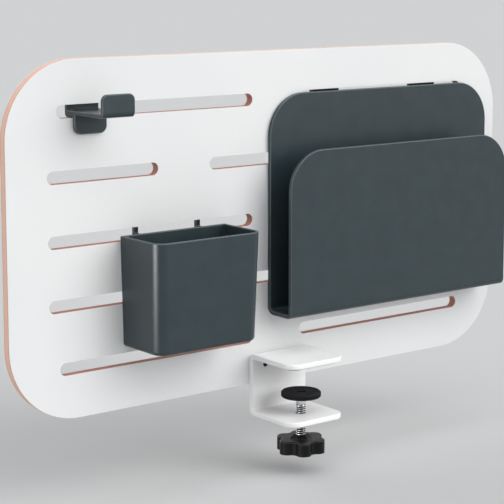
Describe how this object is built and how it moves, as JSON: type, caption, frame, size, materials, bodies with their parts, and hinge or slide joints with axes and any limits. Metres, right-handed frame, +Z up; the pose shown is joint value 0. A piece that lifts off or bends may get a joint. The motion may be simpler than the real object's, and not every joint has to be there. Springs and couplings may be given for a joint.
{
  "type": "clamp-on pegboard desk organizer",
  "caption": "Slotted upright board that clamps to a desk's edge and carries a pen cup, a document holder and a hook, which slide along its slots.",
  "frame": {"origin": "the clamp screw's axis where it meets the face that rests on the desk", "axes": "+X to the right along the board, +Y from the user towards the board, +Z up along the clamp screw"},
  "size_m": [0.515, 0.0693, 0.3355],
  "materials": {
    "board_core": "fine-grained fibreboard, satin",
    "laminate": "smooth white, satin",
    "white_paint": "white powder coat, satin",
    "cushion": "matte foam rubber",
    "steel": "zinc plated",
    "black_plastic": "fine moulded texture",
    "plated_steel": "bright plated",
    "grey_plastic": "dark blue-grey, satin"
  },
  "bodies": {
    "frame": {"board_core": "board_core", "board_front_laminate": "laminate", "board_back_laminate": "laminate", "clamp_bracket": "white_paint", "jaw_pad": "cushion", "bracket_screws": "steel", "bracket_washers": "steel"},
    "pad": {"pressure_pad": "black_plastic"},
    "screw": {"clamp_screw": "plated_steel", "star_knob": "black_plastic"},
    "cup": {"pen_cup": "grey_plastic"},
    "holder": {"document_holder": "grey_plastic"},
    "hook": {"hook": "grey_plastic"}
  },
  "joints": [
    {"name": "clamp_travel", "type": "slide", "parent": "frame", "child": "pad", "axis": [0, 0, 1], "range_m": [-0.0139, 0.0136]},
    {"name": "clamp_spin", "type": "hinge", "parent": "pad", "child": "screw", "pos_m": [0, 0, -0.05], "axis": [0, 0, 1], "range_deg": [-2859, 2797]},
    {"name": "cup_slide", "type": "slide", "parent": "frame", "child": "cup", "axis": [1, 0, 0], "range_m": [-0.079, 0.028]},
    {"name": "holder_slide", "type": "slide", "parent": "frame", "child": "holder", "axis": [1, 0, 0], "range_m": [-0.015, 0.0195]},
    {"name": "hook_slide", "type": "slide", "parent": "frame", "child": "hook", "axis": [1, 0, 0], "range_m": [-0.01, 0.139]}
  ],
  "couplings": [
    {"joint": "clamp_travel", "follows": "clamp_spin", "m_per_rad": 0.00027852}
  ]
}
